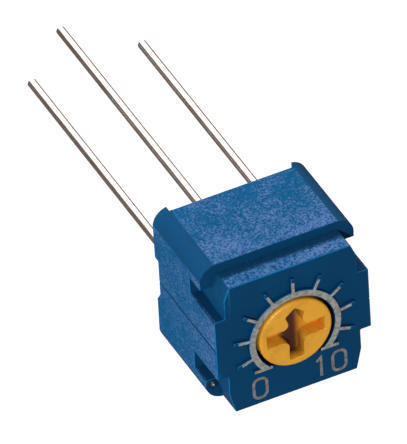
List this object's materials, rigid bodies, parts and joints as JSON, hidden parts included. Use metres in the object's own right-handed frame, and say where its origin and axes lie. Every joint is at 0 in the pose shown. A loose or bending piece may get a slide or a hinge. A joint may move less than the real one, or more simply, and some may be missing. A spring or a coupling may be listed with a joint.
{
  "type": "trimmer potentiometer",
  "caption": "Sealed single-turn trimmer potentiometer with a blue square housing, an amber slotted rotor, a raised dial ring and straight leads.",
  "frame": {"origin": "on the middle lead's axis, in the plane that the four feet stand on", "axes": "+Z along the rotor's axis, out of the adjustment face; +Y towards the stepped side; +X to the right with the dial upright"},
  "size_m": [0.007, 0.007, 0.0218],
  "materials": {
    "housing": "fine moulded grain",
    "rotor": "smooth moulded, amber",
    "seal": "smooth",
    "spring": "stamped",
    "ceramic": "fired alumina",
    "cermet": "fired film",
    "film": "fired silver film",
    "resin": "cast",
    "lead": "tinned, drawn",
    "solder": "wetted"
  },
  "bodies": {
    "housing": {"housing": "housing", "substrate": "ceramic", "resistive_track": "cermet", "collector_track": "film", "end_pad_left": "film", "end_pad_right": "film", "back_seal": "resin", "lead_left": "lead", "lead_middle": "lead", "lead_right": "lead", "solder_left": "solder", "solder_middle": "solder", "solder_right": "solder"},
    "rotor": {"rotor": "rotor", "o_ring": "seal", "wiper": "spring"}
  },
  "joints": [
    {"name": "rotor_turn", "type": "hinge", "parent": "housing", "child": "rotor", "pos_m": [0, -0.00045, 0.0055], "axis": [0, 0, 1], "range_deg": [-135, 135]}
  ]
}
